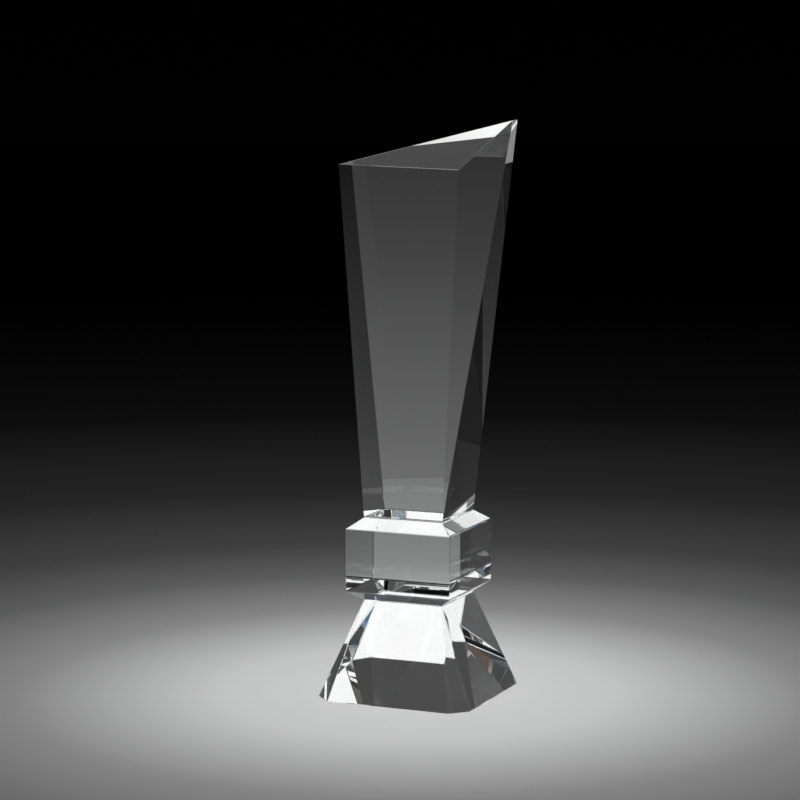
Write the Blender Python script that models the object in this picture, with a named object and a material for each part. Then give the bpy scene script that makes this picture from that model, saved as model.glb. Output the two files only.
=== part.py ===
"""Crystal award: a slanted wedge column, bonded on a square collar block and a flared base.

Metres, +Z up. The origin is at the centre of the base's underside. The front faces -Y, and +X runs
along the front towards the column's high side. Each crystal piece starts as a plain block and gets
its facets one by one, as on a grinding wheel. Its sharp edges are then taken off as thin arrises.
"""

import math

import bmesh
import bpy
from mathutils import Vector

# Joints. A cured adhesive film lies in each one, clear of the crystal on both sides.
FILM_THICKNESS = 0.0002
FILM_GAP = 0.0003
FILM_INSET = 0.0008
JOINT_HEIGHT = FILM_THICKNESS + 2 * FILM_GAP

# Base: flares from a square seat down to a wide square with its four corners cut off.
BASE_WIDTH = 0.082
BASE_CORNER_CUT = 0.0085
BASE_HEIGHT = 0.0484
SEAT_WIDTH = 0.042
BASE_ARRIS = 0.0004

# Collar block: a square block that slopes in to the seat width at its top and bottom.
COLLAR_WIDTH = 0.056
COLLAR_LOW_SHOULDER = 0.0045
COLLAR_SIDE_HEIGHT = 0.0318
COLLAR_TOP_SHOULDER = 0.0048
COLLAR_ARRIS = 0.0006

# Column: heights are measured from its foot. A lean is the sideways travel for each unit of height.
LEFT_LEAN = 0.076
RIGHT_LEAN = 0.1526
BACK_LEAN = 0.100
FRONT_EDGE_LEFT_HEIGHT = 0.1748
FRONT_EDGE_RIGHT_HEIGHT = 0.1734
FRONT_EDGE_RIGHT_X = 0.0293
PEAK_HEIGHT = 0.1972
PEAK_FRONT_Y = -0.0049
COLUMN_ARRIS = 0.0004

COLLAR_Z = BASE_HEIGHT + JOINT_HEIGHT
COLLAR_HEIGHT = COLLAR_LOW_SHOULDER + COLLAR_SIDE_HEIGHT + COLLAR_TOP_SHOULDER
FOOT_Z = COLLAR_Z + COLLAR_HEIGHT + JOINT_HEIGHT
FLATTEST_EDGE = math.radians(5)

CRYSTAL_COLOUR = (0.93, 0.96, 0.95, 1.0)
FILM_COLOUR = (0.96, 0.96, 0.92, 1.0)
CRYSTAL_IOR = 1.517


def clear_scene():
    for obj in list(bpy.data.objects):
        bpy.data.objects.remove(obj)


def clear_material(name, colour, roughness):
    """A colourless, see-through material."""
    material = bpy.data.materials.new(name)
    material.use_nodes = True
    shader = material.node_tree.nodes["Principled BSDF"]
    shader.inputs["Base Color"].default_value = colour
    shader.inputs["Roughness"].default_value = roughness
    shader.inputs["Metallic"].default_value = 0.0
    shader.inputs["IOR"].default_value = CRYSTAL_IOR
    shader.inputs["Transmission Weight"].default_value = 1.0
    return material


def square(width, z):
    """The corners of a level square about the Z axis, anticlockwise from the front left."""
    half = width / 2
    return [Vector((x, y, z)) for x, y in ((-half, -half), (half, -half), (half, half), (-half, half))]


def stock(width, depth, low_z, high_z):
    """A plain block about the Z axis, which the facets are cut from."""
    bm = bmesh.new()
    bmesh.ops.create_cube(bm, size=1.0)
    bmesh.ops.scale(bm, vec=(width, depth, high_z - low_z), verts=bm.verts)
    bmesh.ops.translate(bm, vec=(0.0, 0.0, (low_z + high_z) / 2), verts=bm.verts)
    return bm


def grind(bm, core, first, second, third):
    """Cuts a facet through three points, and keeps the side that holds the core point."""
    normal = (second - first).cross(third - first).normalized()
    if normal.dot(core - first) > 0:
        normal.negate()
    geometry = bm.verts[:] + bm.edges[:] + bm.faces[:]
    cut = bmesh.ops.bisect_plane(
        bm, geom=geometry, dist=1e-7, plane_co=first, plane_no=normal, clear_outer=True
    )
    rim = [element for element in cut["geom_cut"] if isinstance(element, bmesh.types.BMEdge)]
    bmesh.ops.edgeloop_fill(bm, edges=rim)


def finish_piece(name, bm, material, arris=0.0):
    """Turns the finished shape into an object, with its sharp edges taken off."""
    bmesh.ops.recalc_face_normals(bm, faces=bm.faces)
    mesh = bpy.data.meshes.new(name)
    bm.to_mesh(mesh)
    bm.free()
    mesh.materials.append(material)
    piece = bpy.data.objects.new(name, mesh)
    bpy.context.scene.collection.objects.link(piece)
    if arris:
        bevel = piece.modifiers.new("arris", "BEVEL")
        bevel.width = arris
        bevel.segments = 1
        bevel.limit_method = "ANGLE"
        bevel.angle_limit = FLATTEST_EDGE
    return piece


def make_base(material):
    """Four long faces rise to the seat, and a narrow triangle runs up each corner between them."""
    core = Vector((0.0, 0.0, BASE_HEIGHT / 2))
    bm = stock(BASE_WIDTH, BASE_WIDTH, 0.0, BASE_HEIGHT)
    foot = square(BASE_WIDTH, 0.0)
    seat = square(SEAT_WIDTH, BASE_HEIGHT)
    for side in range(4):
        grind(bm, core, foot[side], foot[side - 1], seat[side])
    for side in range(4):
        corner = foot[side]
        towards_next = (foot[(side + 1) % 4] - corner).normalized() * BASE_CORNER_CUT
        towards_last = (foot[side - 1] - corner).normalized() * BASE_CORNER_CUT
        grind(bm, core, corner + towards_next, corner + towards_last, seat[side])
    return finish_piece("base", bm, material, BASE_ARRIS)


def make_collar(material):
    """A square block between the base and the column, with a sloped shoulder all round at each end."""
    top = COLLAR_Z + COLLAR_HEIGHT
    core = Vector((0.0, 0.0, (COLLAR_Z + top) / 2))
    bm = stock(COLLAR_WIDTH, COLLAR_WIDTH, COLLAR_Z, top)
    shoulders = (
        (square(SEAT_WIDTH, COLLAR_Z), square(COLLAR_WIDTH, COLLAR_Z + COLLAR_LOW_SHOULDER)),
        (square(SEAT_WIDTH, top), square(COLLAR_WIDTH, top - COLLAR_TOP_SHOULDER)),
    )
    for inner, outer in shoulders:
        for side in range(4):
            grind(bm, core, inner[side], inner[side - 1], outer[side])
    return finish_piece("collar_block", bm, material, COLLAR_ARRIS)


def make_column(material):
    """An upright front, three leaning sides, a long triangular corner cut and a slanted top."""
    half = SEAT_WIDTH / 2
    up = Vector((0.0, 0.0, 1.0))
    front_left, front_right, back_right, back_left = square(SEAT_WIDTH, FOOT_Z)
    left_slope = up - Vector((LEFT_LEAN, 0.0, 0.0))
    right_slope = up + Vector((RIGHT_LEAN, 0.0, 0.0))
    back_slope = up - Vector((0.0, BACK_LEAN, 0.0))
    edge_left = front_left + left_slope * FRONT_EDGE_LEFT_HEIGHT
    edge_right = Vector((FRONT_EDGE_RIGHT_X, -half, FOOT_Z + FRONT_EDGE_RIGHT_HEIGHT))
    peak_x = half + RIGHT_LEAN * PEAK_HEIGHT
    peak_front = Vector((peak_x, PEAK_FRONT_Y, FOOT_Z + PEAK_HEIGHT))
    level_back = Vector((0.0, half, 0.0))

    core = Vector((0.0, 0.0, FOOT_Z + PEAK_HEIGHT / 2))
    bm = stock(2 * peak_x, SEAT_WIDTH, FOOT_Z, FOOT_Z + PEAK_HEIGHT)
    grind(bm, core, front_left, back_left, front_left + left_slope)
    grind(bm, core, front_right, back_right, front_right + right_slope)
    grind(bm, core, back_left, back_right, back_left + back_slope)
    grind(bm, core, edge_left, edge_left + level_back, peak_front)
    grind(bm, core, edge_left, edge_right, peak_front)
    grind(bm, core, front_right, edge_right, peak_front)
    return finish_piece("column", bm, material, COLUMN_ARRIS)


def make_film(name, low_z, material):
    """A thin square of clear adhesive, a little smaller than the seat that it lies on."""
    width = SEAT_WIDTH - 2 * FILM_INSET
    return finish_piece(name, stock(width, width, low_z, low_z + FILM_THICKNESS), material)


def main():
    clear_scene()
    make_base(clear_material("base_crystal", CRYSTAL_COLOUR, 0.02))
    make_collar(clear_material("collar_crystal", CRYSTAL_COLOUR, 0.02))
    make_column(clear_material("column_crystal", CRYSTAL_COLOUR, 0.02))
    lower = clear_material("lower_adhesive", FILM_COLOUR, 0.05)
    upper = clear_material("upper_adhesive", FILM_COLOUR, 0.05)
    make_film("lower_bond_film", BASE_HEIGHT + FILM_GAP, lower)
    make_film("upper_bond_film", COLLAR_Z + COLLAR_HEIGHT + FILM_GAP, upper)


main()
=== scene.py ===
"""Crystal Award: a slanted, wedge-cut column bonded on a square collar block and a flared base.

Each crystal piece starts as a plain block, gets its facets one after another, and then has its sharp
edges taken off. The faces that the adhesive joins let light straight through, as a good bond does.
Clear crystal shows little of itself, so the studio round it is graded from light to dark, with light
painted into the floor.
"""

import math

import bmesh
import bpy
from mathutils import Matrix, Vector


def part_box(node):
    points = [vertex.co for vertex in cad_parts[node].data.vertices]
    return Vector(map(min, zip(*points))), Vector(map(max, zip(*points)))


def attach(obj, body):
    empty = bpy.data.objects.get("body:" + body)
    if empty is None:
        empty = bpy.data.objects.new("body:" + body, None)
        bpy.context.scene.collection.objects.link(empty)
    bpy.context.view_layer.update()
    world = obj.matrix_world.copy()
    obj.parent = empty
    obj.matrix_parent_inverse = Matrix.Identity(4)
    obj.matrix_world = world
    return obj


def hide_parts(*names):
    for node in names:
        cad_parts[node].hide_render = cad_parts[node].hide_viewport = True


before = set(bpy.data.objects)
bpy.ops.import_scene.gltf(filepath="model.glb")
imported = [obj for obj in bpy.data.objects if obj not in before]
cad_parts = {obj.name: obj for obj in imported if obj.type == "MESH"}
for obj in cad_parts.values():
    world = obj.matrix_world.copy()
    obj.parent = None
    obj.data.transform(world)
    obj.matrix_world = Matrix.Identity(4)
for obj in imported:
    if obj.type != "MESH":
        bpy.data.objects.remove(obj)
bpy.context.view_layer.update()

bl_info = {
    "name": "Crystal Award",
    "version": (1, 0, 0),
    "blender": (4, 5, 0),
    "location": "3D View > Sidebar > Crystal Award",
    "description": "Builds a faceted crystal award and the studio that it stands in",
    "category": "Add Mesh",
}

BODY = "root"
UP = Vector((0.0, 0.0, 1.0))
BASE_LOW, BASE_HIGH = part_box("base")
COLLAR_LOW, COLLAR_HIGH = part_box("collar_block")
COLUMN_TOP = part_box("column")[1].z
LOWER_FILM_LOW, LOWER_FILM_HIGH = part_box("lower_bond_film")
UPPER_FILM_LOW, UPPER_FILM_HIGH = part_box("upper_bond_film")

# How near two places or directions are to count as the same, and what angle makes an edge sharp.
SAME_PLACE = 1e-5
SAME_HEIGHT = 1e-4
SAME_DIRECTION = 0.999
SHARP_EDGE = math.radians(5)

# Material slots of a piece of crystal. Slot 0 holds its polished faces.
EDGE = 1
BONDED = 2

# Light crosses a bonded face unbent and untinted, as if the pieces on both sides were one.
BONDED_TINT = (1.0, 1.0, 1.0)
BONDED_REFRACTION = 1.0

ADHESIVE_REFRACTION = 1.49
FILM_GAP = 1e-5
FILM_CORNER = 0.0008

# Painted light on the floor as the award sees it: a painted pool of light, near white round the foot.
# Between the two edge distances below, that gives way to a painted level by distance, in metres, times
# a painted level by direction, whose places run from 0 on the camera's side of the award to 1 behind it.
PAINTED_POOL_LEVEL = 0.95
PAINTED_POOL_EDGE = (0.10, 0.17)
FLOOR_PAINTED_FALLOFF = (
    (0.0, 0.8), (0.1, 0.8), (0.16, 0.6), (0.25, 0.4), (0.35, 0.26), (0.5, 0.2), (1.0, 0.1),
)
FLOOR_PAINTED_ROUND = ((0.0, 0.2), (0.06, 0.1), (0.2, 0.1), (0.5, 0.3), (0.84, 0.5), (0.96, 0.85), (1.0, 1.0))

# Painted light on the same floor as the camera sees it, graded by distance as a share of SEEN_REACH.
SEEN_REACH = 2.0
FLOOR_PAINTED_SEEN = (
    (0.0, 0.58), (0.05, 0.5), (0.075, 0.36), (0.1, 0.22), (0.15, 0.1), (0.2, 0.05), (0.3, 0.02),
    (0.5, 0.005), (1.0, 0.0),
)

# The sweep is a level by height times a level by direction, as on the floor. Heights are sines of the
# angle above the horizon, and the sweep's run between SWEEP_LIMITS. The ceiling is added to it, by
# heights from 0 to 1, and its two coloured stops give the crystal its coloured glints.
SWEEP_LIMITS = (-0.5, 0.1)
SWEEP_HEIGHT = (
    (0.11, 0.08), (0.23, 0.2), (0.42, 0.21), (0.5, 0.135), (0.6, 0.06), (0.67, 0.033), (0.75, 0.01),
    (0.83, 0.002),
)
SWEEP_ROUND = (
    (0.0, 0.6), (0.03, 0.4), (0.08, 0.03), (0.3, 0.03), (0.5, 0.45), (0.82, 1.0), (0.86, 0.25),
    (0.9, 0.3), (0.95, 0.9), (1.0, 1.0),
)
CEILING = (
    (0.0, 0.0), (0.2, 0.07), (0.64, 0.075), (0.66, (0.26, 0.11, 0.06)), (0.675, 0.08), (0.72, 0.08),
    (0.74, (0.07, 0.20, 0.36)), (0.77, 0.08), (1.0, 0.08),
)

# The floor discs lie this far below the award, so that no face meets another.
FLOOR_DEPTH = 0.0002
FAR_FLOOR_DEPTH = 0.0003
FLOOR_ROUGHNESS = 0.6
GRAIN_SCALE = 900.0
GRAIN_DARKEST = 0.97

OVERHEAD_HEIGHT = 2.0
OVERHEAD_SIZE = (1.2, 1.2)

# The roof light shines up this slope, from behind the column, to just under the peak.
ROOF_LIGHT_AIM = Vector((0.030, 0.0025, 0.279))
ROOF_LIGHT_SLOPE = math.radians(25.4)
ROOF_LIGHT_DISTANCE = 0.3
ROOF_LIGHT_RISE = 0.012
ROOF_LIGHT_SIZE = (0.12, 0.034)
ROOF_LIGHT_SPREAD = math.radians(16.0)

SENSOR_WIDTH = 36.0
MOST_BOUNCES = 32


# Settings that a user would change.


class CrystalAwardBaseSettings(bpy.types.PropertyGroup):
    width: bpy.props.FloatProperty(
        name="Width", description="Width of the base across its flat sides",
        default=round(BASE_HIGH.x - BASE_LOW.x, 3), unit="LENGTH", precision=4,
    )
    corner_cut: bpy.props.FloatProperty(
        name="Corner Cut", description="How far each bottom corner is cut back along both sides",
        default=0.0085, unit="LENGTH", precision=4,
    )
    seat_width: bpy.props.FloatProperty(
        name="Seat Width", description="Width of the square faces where the pieces meet",
        default=0.042, unit="LENGTH", precision=4,
    )
    arris: bpy.props.FloatProperty(
        name="Arris", description="Width taken off each sharp edge of the base",
        default=0.0004, unit="LENGTH", precision=4,
    )


class CrystalAwardCollarSettings(bpy.types.PropertyGroup):
    width: bpy.props.FloatProperty(
        name="Width", description="Width of the collar block",
        default=round(COLLAR_HIGH.x - COLLAR_LOW.x, 3), unit="LENGTH", precision=4,
    )
    low_shoulder: bpy.props.FloatProperty(
        name="Low Shoulder", description="Height of the slope under the sides",
        default=0.0048, unit="LENGTH", precision=4,
    )
    top_shoulder: bpy.props.FloatProperty(
        name="Top Shoulder", description="Height of the slope above the sides",
        default=0.0051, unit="LENGTH", precision=4,
    )
    arris: bpy.props.FloatProperty(
        name="Arris", description="Width taken off each sharp edge of the collar block",
        default=0.0005, unit="LENGTH", precision=4,
    )


class CrystalAwardColumnSettings(bpy.types.PropertyGroup):
    left_lean: bpy.props.FloatProperty(
        name="Left Lean", description="Outward travel of the left side for each metre of height",
        default=0.076, precision=4,
    )
    right_lean: bpy.props.FloatProperty(
        name="Right Lean", description="Outward travel of the right side for each metre of height",
        default=0.1526, precision=4,
    )
    back_lean: bpy.props.FloatProperty(
        name="Back Lean", description="Forward travel of the back for each metre of height",
        default=0.100, precision=4,
    )
    front_left_height: bpy.props.FloatProperty(
        name="Front Edge Left",
        description="Height of the front's top edge at its left end, above the foot",
        default=0.1751, unit="LENGTH", precision=4,
    )
    front_right_height: bpy.props.FloatProperty(
        name="Front Edge Right",
        description="Height of the front's top edge at its right end, above the foot",
        default=0.1737, unit="LENGTH", precision=4,
    )
    front_right_x: bpy.props.FloatProperty(
        name="Front Edge End", description="How far right the front's top edge reaches",
        default=0.0293, unit="LENGTH", precision=4,
    )
    peak_y: bpy.props.FloatProperty(
        name="Peak Depth", description="Place of the peak's front corner between front and back",
        default=-0.0049, unit="LENGTH", precision=4,
    )
    arris: bpy.props.FloatProperty(
        name="Arris", description="Width taken off each sharp edge of the column",
        default=0.00012, unit="LENGTH", precision=4,
    )


class CrystalAwardFinishSettings(bpy.types.PropertyGroup):
    crystal: bpy.props.FloatVectorProperty(
        name="Crystal", description="Tint that the crystal gives to light passing through a face",
        default=(0.984, 0.992, 0.99), subtype="COLOR", min=0.0, max=1.0,
    )
    adhesive: bpy.props.FloatVectorProperty(
        name="Adhesive", description="Tint of the cured adhesive",
        default=(0.97, 0.98, 0.95), subtype="COLOR", min=0.0, max=1.0,
    )
    refraction: bpy.props.FloatProperty(
        name="Refraction", description="Index of refraction of the crystal",
        default=1.517, min=1.0, max=2.5, precision=3,
    )


class CrystalAwardStageSettings(bpy.types.PropertyGroup):
    floor: bpy.props.FloatVectorProperty(
        name="Floor", description="Colour of the floor, before its grading",
        default=(1.0, 1.0, 1.0), subtype="COLOR", min=0.0, max=1.0,
    )
    floor_radius: bpy.props.FloatProperty(
        name="Floor Radius", description="Distance from the award to the edge of the floor",
        default=0.5, unit="LENGTH",
    )
    view_azimuth: bpy.props.FloatProperty(
        name="View Azimuth", description="Direction of the view, turned from straight ahead",
        default=math.radians(23.13), subtype="ANGLE",
    )
    view_pitch: bpy.props.FloatProperty(
        name="View Pitch", description="How far the camera looks down",
        default=math.radians(7.82), subtype="ANGLE",
    )
    view_distance: bpy.props.FloatProperty(
        name="View Distance", description="Level distance from the camera to the award's axis",
        default=1.4214, unit="LENGTH",
    )
    view_height: bpy.props.FloatProperty(
        name="View Height", description="Height of the camera",
        default=0.3433, unit="LENGTH",
    )
    view_aside: bpy.props.FloatProperty(
        name="View Aside", description="How far left of the award's axis the camera aims",
        default=0.0096, unit="LENGTH", precision=4,
    )
    lens: bpy.props.FloatProperty(
        name="Lens", description="Focal length of the camera in millimetres",
        default=129.3,
    )
    far_radius: bpy.props.FloatProperty(
        name="Far Radius",
        description="Distance from the award to the edge of the floor that the camera sees",
        default=6.0, unit="LENGTH",
    )
    overhead: bpy.props.FloatProperty(
        name="Overhead", description="Power of the light over the floor",
        default=45.0, min=0.0,
    )
    roof_light: bpy.props.FloatProperty(
        name="Roof Light", description="Power of the small light behind the column",
        default=0.00009, min=0.0,
    )
    glow: bpy.props.FloatProperty(
        name="Glow", description="Brightness of the light that the sweep gives the award",
        default=1.0, min=0.0,
    )
    backdrop: bpy.props.FloatProperty(
        name="Backdrop", description="Brightness of the sweep as the camera sees it",
        default=0.02, min=0.0,
    )


def settings(name):
    """The scene's settings for one piece, for the finishes or for the stage."""
    return getattr(bpy.context.scene, "crystal_award_" + name)


# Shader nodes.


def feed(tree, socket, value):
    """Links a socket to another node's output, or gives it a plain value."""
    if isinstance(value, bpy.types.NodeSocket):
        tree.links.new(value, socket)
    else:
        socket.default_value = value


def add_node(tree, kind, inputs, **options):
    """A node with its options set and its inputs fed."""
    node = tree.nodes.new("ShaderNode" + kind)
    for option, value in options.items():
        setattr(node, option, value)
    for name, value in inputs.items():
        feed(tree, node.inputs[name], value)
    return node


def add_range(tree, value, low, high, to_low=0.0, to_high=1.0):
    """Maps a value between low and high to another range, and stops it there."""
    levels = {"Value": value, "From Min": low, "From Max": high, "To Min": to_low, "To Max": to_high}
    return add_node(tree, "MapRange", levels).outputs["Result"]


def add_vector_math(tree, operation, *values):
    """A vector math node on other nodes' outputs or plain vectors."""
    return add_node(tree, "VectorMath", dict(enumerate(values)), operation=operation)


def add_mix(tree, share, first, second):
    """The first colour where the share is 0, and the second where it is 1."""
    inputs = {"Factor": share, "A": first, "B": second}
    return add_node(tree, "Mix", inputs, data_type="RGBA").outputs["Result"]


def add_ramp(tree, value, stops):
    """A colour ramp on a value; each stop is a place between 0 and 1 and a grey level or a colour."""
    ramp = add_node(tree, "ValToRGB", {"Fac": value})
    elements = ramp.color_ramp.elements
    while len(elements) < len(stops):
        elements.new(0.5)
    for element, (place, level) in zip(elements, stops):
        element.position = place
        element.color = (*level, 1.0) if isinstance(level, tuple) else (level, level, level, 1.0)
    return ramp.outputs["Color"]


# The crystal's finishes.


def new_group(name, inputs, outputs):
    """An empty shader node group with its sockets, and its input and output nodes."""
    group = bpy.data.node_groups.new(name, "ShaderNodeTree")
    for socket_name, kind, default in inputs:
        socket = group.interface.new_socket(socket_name, in_out="INPUT", socket_type=kind)
        if default is not None:
            socket.default_value = default
    for socket_name, kind in outputs:
        group.interface.new_socket(socket_name, in_out="OUTPUT", socket_type=kind)
    return group, group.nodes.new("NodeGroupInput"), group.nodes.new("NodeGroupOutput")


def polish_group():
    """Roughness and height of a polished face: soft smears, dust specks and the wheel's hairlines."""
    name = "Crystal Polish"
    if name in bpy.data.node_groups:
        return bpy.data.node_groups[name]
    group, given, made = new_group(
        name,
        (
            ("Vector", "NodeSocketVector", None),
            ("Smear Scale", "NodeSocketFloat", 30.0),
            ("Hairline Scale", "NodeSocketFloat", 900.0),
            ("Speck Scale", "NodeSocketFloat", 70.0),
            ("Clean Roughness", "NodeSocketFloat", 0.0),
            ("Smeared Roughness", "NodeSocketFloat", 0.02),
        ),
        (("Roughness", "NodeSocketFloat"), ("Height", "NodeSocketFloat")),
    )
    given = given.outputs

    smear = add_node(group, "TexNoise", {
        "Vector": given["Vector"], "Scale": given["Smear Scale"], "Detail": 4.0, "Distortion": 0.8,
    })
    smeared = add_range(
        group, smear.outputs["Fac"], 0.55, 0.8, given["Clean Roughness"], given["Smeared Roughness"]
    )

    dust = add_node(group, "TexVoronoi", {"Vector": given["Vector"], "Scale": given["Speck Scale"]})
    speck = add_range(group, dust.outputs["Distance"], 0.015, 0.03, 0.4, 0.0)
    rougher = add_node(group, "Math", {0: smeared, 1: speck}, operation="MAXIMUM")
    feed(group, made.inputs["Roughness"], rougher.outputs["Value"])

    stretch = add_node(group, "Mapping", {
        "Vector": given["Vector"], "Scale": (1.0, 1.0, 0.04), "Rotation": (0.0, math.radians(12), 0.0),
    })
    hairline = add_node(group, "TexNoise", {
        "Vector": stretch.outputs["Vector"], "Scale": given["Hairline Scale"], "Detail": 2.0,
    })
    feed(group, made.inputs["Height"], hairline.outputs["Fac"])
    return group


def glass_material(name, tint, refraction, clean=0.0, smeared=0.0, bump=0.0, smear_scale=30.0):
    """See-through crystal whose roughness and fine relief come from the polish group."""
    material = bpy.data.materials.new(name)
    material.use_nodes = True
    tree = material.node_tree
    shader = tree.nodes["Principled BSDF"]
    shader.inputs["Base Color"].default_value = (*tint, 1.0)
    shader.inputs["Metallic"].default_value = 0.0
    shader.inputs["IOR"].default_value = refraction
    shader.inputs["Transmission Weight"].default_value = 1.0

    polish = add_node(tree, "Group", {}, node_tree=polish_group())
    feed(tree, polish.inputs["Vector"], add_node(tree, "TexCoord", {}).outputs["Object"])
    polish.inputs["Smear Scale"].default_value = smear_scale
    polish.inputs["Clean Roughness"].default_value = clean
    polish.inputs["Smeared Roughness"].default_value = smeared
    relief = add_node(tree, "Bump", {
        "Strength": bump, "Distance": 0.00001, "Height": polish.outputs["Height"],
    })
    feed(tree, shader.inputs["Roughness"], polish.outputs["Roughness"])
    feed(tree, shader.inputs["Normal"], relief.outputs["Normal"])
    return material


def crystal_materials(piece):
    """The polished faces, the ground edges and the bonded faces of one piece of crystal."""
    finish = settings("finish")
    crystal = (tuple(finish.crystal), finish.refraction)
    return (
        glass_material(piece + "_polished", *crystal, smeared=0.012, bump=0.01),
        glass_material(piece + "_edge", *crystal, clean=0.04, smeared=0.12, bump=0.1),
        glass_material(piece + "_bonded", BONDED_TINT, BONDED_REFRACTION),
    )


# Shaping with Blender's own operators.


def start_block(name, low, high):
    """A plain block between two corners, with its place in its mesh, left in edit mode."""
    bpy.ops.object.select_all(action="DESELECT")
    bpy.ops.mesh.primitive_cube_add(size=1.0, location=(low + high) / 2, scale=high - low)
    bpy.ops.object.transform_apply(location=True, rotation=True, scale=True)
    piece = bpy.context.object
    piece.name = name
    piece.data.name = name
    bpy.ops.object.mode_set(mode="EDIT")
    return piece


def select_faces(piece, wanted):
    """Selects only the faces for which wanted(face) is true."""
    bpy.ops.mesh.select_all(action="DESELECT")
    bpy.ops.mesh.select_mode(type="FACE")
    shape = bmesh.from_edit_mesh(piece.data)
    for face in shape.faces:
        face.select_set(wanted(face))
    bmesh.update_edit_mesh(piece.data)


def select_upright_edges(piece):
    """Selects only the edges that run straight up."""
    bpy.ops.mesh.select_all(action="DESELECT")
    bpy.ops.mesh.select_mode(type="EDGE")
    shape = bmesh.from_edit_mesh(piece.data)
    for edge in shape.edges:
        along = (edge.verts[0].co - edge.verts[1].co).normalized()
        edge.select_set(abs(along.dot(UP)) > SAME_DIRECTION)
    bmesh.update_edit_mesh(piece.data)


def facing(direction):
    """A test for the faces that look in this direction."""
    return lambda face: face.normal.dot(direction) > SAME_DIRECTION


def narrow_selection(share, z):
    """Draws the selected face in towards the Z axis, to this share of its width."""
    bpy.ops.transform.resize(value=(share, share, 1.0), center_override=(0.0, 0.0, z))


def grind(core, first, second, third):
    """Cuts a facet through three points, and keeps the side that holds the core point."""
    normal = (second - first).cross(third - first).normalized()
    if normal.dot(core - first) > 0:
        normal.negate()
    bpy.ops.mesh.select_all(action="SELECT")
    bpy.ops.mesh.bisect(
        plane_co=first, plane_no=normal, use_fill=True, clear_outer=True, threshold=SAME_PLACE
    )


def take_off_edges(piece, arris):
    """Takes a narrow rounded arris off every edge between two facets."""
    bpy.ops.mesh.select_all(action="SELECT")
    bpy.ops.mesh.remove_doubles(threshold=SAME_PLACE)
    bpy.ops.mesh.normals_make_consistent(inside=False)
    bpy.ops.mesh.select_all(action="DESELECT")
    bpy.ops.mesh.select_mode(type="EDGE")
    bpy.ops.mesh.edges_select_sharp(sharpness=SHARP_EDGE)
    bpy.ops.mesh.bevel(
        offset=arris, offset_type="OFFSET", segments=2, profile=0.5, affect="EDGES", material=EDGE
    )


def bond_faces(piece, heights):
    """Gives the level faces at these heights the bonded material."""
    def at_joint(face):
        level = abs(face.normal.dot(UP)) > SAME_DIRECTION
        middle = face.calc_center_median().z
        return level and any(abs(middle - height) < SAME_HEIGHT for height in heights)

    select_faces(piece, at_joint)
    piece.active_material_index = BONDED
    bpy.ops.object.material_slot_assign()


def finish_piece(piece, node):
    """Leaves edit mode, ties the piece to its body and hides its CAD node.

    The piece casts no shadow, because clear crystal passes on nearly all of the light that falls on it.
    """
    bpy.ops.object.mode_set(mode="OBJECT")
    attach(piece, BODY)
    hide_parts(node)
    piece.visible_shadow = False


def give_materials(piece, materials):
    """Gives a piece its material slots, in order."""
    for material in materials:
        piece.data.materials.append(material)


def square(width, z):
    """The corners of a level square about the Z axis, anticlockwise from the front left."""
    half = width / 2
    return [Vector((x, y, z)) for x, y in ((-half, -half), (half, -half), (half, half), (-half, half))]


class CRYSTALAWARD_OT_base(bpy.types.Operator):
    """Builds the flared base with its four cut corners"""

    bl_idname = "crystal_award.base"
    bl_label = "Base"

    def execute(self, context):
        own = settings("base")
        half = own.width / 2
        top = LOWER_FILM_LOW.z
        piece = start_block("crystal_base", Vector((-half, -half, 0.0)), Vector((half, half, top)))
        give_materials(piece, crystal_materials("base"))

        select_faces(piece, facing(UP))
        narrow_selection(own.seat_width / own.width, top)

        core = Vector((0.0, 0.0, top / 2))
        foot = square(own.width, 0.0)
        seat = square(own.seat_width, top)
        for side, corner in enumerate(foot):
            towards_next = (foot[(side + 1) % len(foot)] - corner).normalized() * own.corner_cut
            towards_last = (foot[side - 1] - corner).normalized() * own.corner_cut
            grind(core, corner + towards_next, corner + towards_last, seat[side])

        take_off_edges(piece, own.arris)
        bond_faces(piece, (top,))
        finish_piece(piece, "base")
        return {"FINISHED"}


class CRYSTALAWARD_OT_collar(bpy.types.Operator):
    """Builds the square collar block with its sloped shoulders"""

    bl_idname = "crystal_award.collar"
    bl_label = "Collar Block"

    def execute(self, context):
        own = settings("collar")
        half = own.width / 2
        low, top = LOWER_FILM_HIGH.z, UPPER_FILM_LOW.z
        side_low, side_top = low + own.low_shoulder, top - own.top_shoulder
        piece = start_block(
            "crystal_collar_block", Vector((-half, -half, side_low)), Vector((half, half, side_top))
        )
        give_materials(piece, crystal_materials("collar"))

        seat_share = settings("base").seat_width / own.width
        for direction, rise, end in ((UP, top - side_top, top), (-UP, low - side_low, low)):
            select_faces(piece, facing(direction))
            bpy.ops.mesh.extrude_region_move(TRANSFORM_OT_translate={"value": (0.0, 0.0, rise)})
            narrow_selection(seat_share, end)

        take_off_edges(piece, own.arris)
        bond_faces(piece, (low, top))
        finish_piece(piece, "collar_block")
        return {"FINISHED"}


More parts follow.
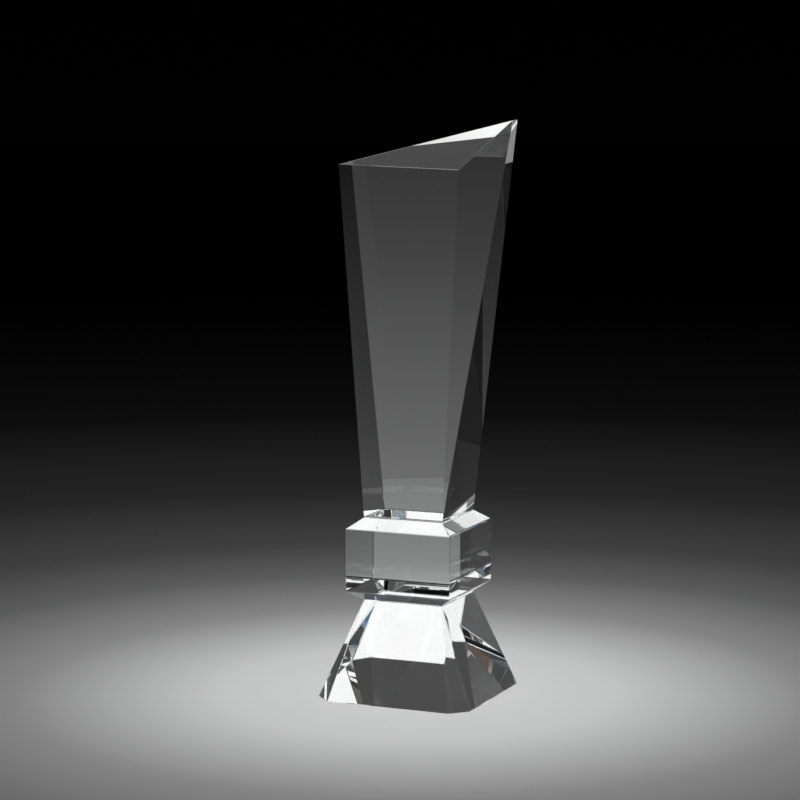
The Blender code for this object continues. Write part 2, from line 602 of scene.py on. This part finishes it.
class CRYSTALAWARD_OT_column(bpy.types.Operator):
    """Builds the slanted column with its corner cut and its two top facets"""

    bl_idname = "crystal_award.column"
    bl_label = "Column"

    def execute(self, context):
        own = settings("column")
        seat_width = settings("base").seat_width
        half = seat_width / 2
        foot_z = UPPER_FILM_HIGH.z
        peak_height = COLUMN_TOP - foot_z
        front_left, front_right, back_right, back_left = square(seat_width, foot_z)
        left_slope = UP - Vector((own.left_lean, 0.0, 0.0))
        right_slope = UP + Vector((own.right_lean, 0.0, 0.0))
        back_slope = UP - Vector((0.0, own.back_lean, 0.0))
        edge_left = front_left + left_slope * own.front_left_height
        edge_right = Vector((own.front_right_x, -half, foot_z + own.front_right_height))
        peak_x = half + own.right_lean * peak_height
        peak = Vector((peak_x, own.peak_y, foot_z + peak_height))
        level_back = Vector((0.0, half, 0.0))

        piece = start_block(
            "crystal_column", Vector((-peak_x, -half, foot_z)), Vector((peak_x, half, peak.z))
        )
        give_materials(piece, crystal_materials("column"))
        core = Vector((0.0, 0.0, foot_z + peak_height / 2))
        grind(core, front_left, back_left, front_left + left_slope)
        grind(core, front_right, back_right, front_right + right_slope)
        grind(core, back_left, back_right, back_left + back_slope)
        grind(core, edge_left, edge_left + level_back, peak)
        grind(core, edge_left, edge_right, peak)
        grind(core, front_right, edge_right, peak)

        take_off_edges(piece, own.arris)
        bond_faces(piece, (foot_z,))
        finish_piece(piece, "column")
        return {"FINISHED"}


class CRYSTALAWARD_OT_bond_films(bpy.types.Operator):
    """Builds the two adhesive films with their rounded rims"""

    bl_idname = "crystal_award.bond_films"
    bl_label = "Bond Films"

    def execute(self, context):
        tint = tuple(settings("finish").adhesive)
        rim = glass_material(
            "film_rim", tint, ADHESIVE_REFRACTION, clean=0.05, smeared=0.2, bump=0.2, smear_scale=400.0
        )
        face = glass_material("film_face", BONDED_TINT, BONDED_REFRACTION)
        gap = Vector((0.0, 0.0, FILM_GAP))
        for name, node, low, high in (
            ("adhesive_lower", "lower_bond_film", LOWER_FILM_LOW, LOWER_FILM_HIGH),
            ("adhesive_upper", "upper_bond_film", UPPER_FILM_LOW, UPPER_FILM_HIGH),
        ):
            piece = start_block(name, low + gap, high - gap)
            give_materials(piece, (rim, rim, face))
            select_upright_edges(piece)
            bpy.ops.mesh.bevel(offset=FILM_CORNER, segments=4, profile=0.5, affect="EDGES")
            bond_faces(piece, (low.z + FILM_GAP, high.z - FILM_GAP))
            finish_piece(piece, node)
        return {"FINISHED"}


# The studio.


def ahead_of_camera(own):
    """The level direction in which the camera looks."""
    return Vector((-math.sin(own.view_azimuth), math.cos(own.view_azimuth), 0.0))


def floor_material(own):
    """Pale floor with a fine grain and a painted pool of light, graded to dark away from the award.

    The camera sees this painted light by distance alone; the crystal sees it graded by direction too.
    """
    material = bpy.data.materials.new("pale_floor_painted_pool")
    material.use_nodes = True
    tree = material.node_tree
    shader = tree.nodes["Principled BSDF"]
    shader.inputs["Roughness"].default_value = FLOOR_ROUGHNESS
    shader.inputs["Specular IOR Level"].default_value = 0.0
    place = add_node(tree, "TexCoord", {}).outputs["Object"]

    distance = add_vector_math(tree, "LENGTH", place).outputs["Value"]
    direction = add_vector_math(tree, "NORMALIZE", place).outputs["Vector"]
    forward = add_vector_math(tree, "DOT_PRODUCT", direction, ahead_of_camera(own)).outputs["Value"]
    graded = add_vector_math(
        tree, "MULTIPLY",
        add_ramp(tree, distance, FLOOR_PAINTED_FALLOFF),
        add_ramp(tree, add_range(tree, forward, -1.0, 1.0), FLOOR_PAINTED_ROUND),
    ).outputs["Vector"]
    # A painted pool of light round the foot gives way to the painted levels by distance and direction.
    painted_pool = (PAINTED_POOL_LEVEL, PAINTED_POOL_LEVEL, PAINTED_POOL_LEVEL, 1.0)
    painted_light_to_award = add_mix(tree, add_range(tree, distance, *PAINTED_POOL_EDGE), painted_pool, graded)
    # The camera sees a darker painted pool of light of its own, graded by distance alone.
    seen_painted_light = add_ramp(tree, add_range(tree, distance, 0.0, SEEN_REACH), FLOOR_PAINTED_SEEN)
    by_camera = add_node(tree, "LightPath", {}).outputs["Is Camera Ray"]
    level = add_mix(tree, by_camera, painted_light_to_award, seen_painted_light)

    grain = add_node(tree, "TexNoise", {"Vector": place, "Scale": GRAIN_SCALE}).outputs["Fac"]
    tone = add_vector_math(tree, "SCALE", tuple(own.floor))
    feed(tree, tone.inputs["Scale"], add_range(tree, grain, 0.0, 1.0, GRAIN_DARKEST, 1.0))
    colour = add_vector_math(tree, "MULTIPLY", level, tone.outputs["Vector"])
    feed(tree, shader.inputs["Base Color"], colour.outputs["Vector"])
    return material


def add_floor_disc(name, radius, depth, material):
    """A round, level floor about the Z axis, this far below the award."""
    bpy.ops.object.select_all(action="DESELECT")
    bpy.ops.mesh.primitive_circle_add(
        vertices=128, radius=radius, fill_type="NGON", location=(0.0, 0.0, -depth)
    )
    floor = bpy.context.object
    floor.name = name
    floor.data.materials.append(material)
    return floor


def make_floor(own):
    """A round pale floor just under the award, and the floor farther out, which only the camera sees."""
    material = floor_material(own)
    add_floor_disc("floor", own.floor_radius, FLOOR_DEPTH, material)
    far = add_floor_disc("far_floor", own.far_radius, FAR_FLOOR_DEPTH, material)
    far.visible_diffuse = False
    far.visible_glossy = False
    far.visible_transmission = False
    far.visible_shadow = False


def make_sweep(own):
    """The studio around the floor: a low glowing sweep, brightest behind the award, and a dim ceiling.

    The camera sees them nearly black.
    """
    world = bpy.data.worlds.new("studio")
    bpy.context.scene.world = world
    world.use_nodes = True
    tree = world.node_tree
    background = tree.nodes["Background"]
    place = add_node(tree, "TexCoord", {}).outputs["Generated"]

    height = add_vector_math(tree, "DOT_PRODUCT", place, UP).outputs["Value"]
    forward = add_vector_math(tree, "DOT_PRODUCT", place, ahead_of_camera(own)).outputs["Value"]
    glow = add_vector_math(
        tree, "MULTIPLY_ADD",
        add_ramp(tree, add_range(tree, height, *SWEEP_LIMITS), SWEEP_HEIGHT),
        add_ramp(tree, add_range(tree, forward, -1.0, 1.0), SWEEP_ROUND),
        add_ramp(tree, height, CEILING),
    )
    feed(tree, background.inputs["Color"], glow.outputs["Vector"])
    by_camera = add_node(tree, "LightPath", {}).outputs["Is Camera Ray"]
    strength = add_range(tree, by_camera, 0.0, 1.0, own.glow, own.backdrop)
    feed(tree, background.inputs["Strength"], strength)


def make_softbox(name, place, aim, size, power, spread=math.pi):
    """A rectangular softbox that the camera can't see; a small spread is a grid over its front."""
    light = bpy.data.lights.new(name, "AREA")
    light.shape = "RECTANGLE"
    light.size, light.size_y = size
    light.energy = power
    light.spread = spread
    lamp = bpy.data.objects.new(name, light)
    lamp.location = place
    lamp.rotation_euler = (aim - place).to_track_quat("-Z", "Y").to_euler()
    lamp.visible_camera = False
    bpy.context.scene.collection.objects.link(lamp)
    return lamp


def make_lights(own):
    """An even overhead light for the floor, and a small gridded softbox that shines up into the roof."""
    overhead = make_softbox("overhead", UP * OVERHEAD_HEIGHT, Vector(), OVERHEAD_SIZE, own.overhead)
    overhead.visible_glossy = False
    overhead.visible_transmission = False

    ahead = ahead_of_camera(own)
    outward = ahead * math.cos(ROOF_LIGHT_SLOPE) - UP * math.sin(ROOF_LIGHT_SLOPE)
    upward = ahead * math.sin(ROOF_LIGHT_SLOPE) + UP * math.cos(ROOF_LIGHT_SLOPE)
    aim = ROOF_LIGHT_AIM + upward * ROOF_LIGHT_RISE
    place = aim + outward * ROOF_LIGHT_DISTANCE
    make_softbox("roof_light", place, aim, ROOF_LIGHT_SIZE, own.roof_light, ROOF_LIGHT_SPREAD)


def make_camera(own):
    """The camera, looking a little down and a little to the left of the award's axis."""
    ahead = ahead_of_camera(own)
    right = Vector((ahead.y, -ahead.x, 0.0))
    data = bpy.data.cameras.new("camera")
    data.lens = own.lens
    data.sensor_width = SENSOR_WIDTH
    camera = bpy.data.objects.new("camera", data)
    camera.location = -ahead * own.view_distance - right * own.view_aside + UP * own.view_height
    look = ahead * math.cos(own.view_pitch) - UP * math.sin(own.view_pitch)
    camera.rotation_euler = look.to_track_quat("-Z", "Y").to_euler()
    bpy.context.scene.collection.objects.link(camera)
    bpy.context.scene.camera = camera


class CRYSTALAWARD_OT_stage(bpy.types.Operator):
    """Builds the floor, the studio light and the camera"""

    bl_idname = "crystal_award.stage"
    bl_label = "Stage"

    def execute(self, context):
        own = settings("stage")
        make_floor(own)
        make_sweep(own)
        make_lights(own)
        make_camera(own)
        context.scene.view_settings.view_transform = "Standard"
        cycles = context.scene.cycles
        cycles.max_bounces = MOST_BOUNCES
        cycles.transmission_bounces = MOST_BOUNCES
        cycles.glossy_bounces = MOST_BOUNCES
        return {"FINISHED"}


class CRYSTALAWARD_PT_panel(bpy.types.Panel):
    """The award's operators, in building order"""

    bl_idname = "CRYSTALAWARD_PT_panel"
    bl_label = "Crystal Award"
    bl_space_type = "VIEW_3D"
    bl_region_type = "UI"
    bl_category = "Crystal Award"

    def draw(self, context):
        for operator in OPERATORS:
            self.layout.operator(operator.bl_idname)


SETTINGS = {
    "base": CrystalAwardBaseSettings,
    "collar": CrystalAwardCollarSettings,
    "column": CrystalAwardColumnSettings,
    "finish": CrystalAwardFinishSettings,
    "stage": CrystalAwardStageSettings,
}
OPERATORS = (
    CRYSTALAWARD_OT_base,
    CRYSTALAWARD_OT_collar,
    CRYSTALAWARD_OT_column,
    CRYSTALAWARD_OT_bond_films,
    CRYSTALAWARD_OT_stage,
)
CLASSES = (*SETTINGS.values(), *OPERATORS, CRYSTALAWARD_PT_panel)


def register():
    for cls in CLASSES:
        bpy.utils.register_class(cls)
    for name, group in SETTINGS.items():
        setattr(bpy.types.Scene, "crystal_award_" + name, bpy.props.PointerProperty(type=group))


def unregister():
    for name in SETTINGS:
        delattr(bpy.types.Scene, "crystal_award_" + name)
    for cls in reversed(CLASSES):
        bpy.utils.unregister_class(cls)


def main():
    register()
    bpy.ops.crystal_award.base()
    bpy.ops.crystal_award.collar()
    bpy.ops.crystal_award.column()
    bpy.ops.crystal_award.bond_films()
    bpy.ops.crystal_award.stage()


if __name__ == "__main__":
    main()
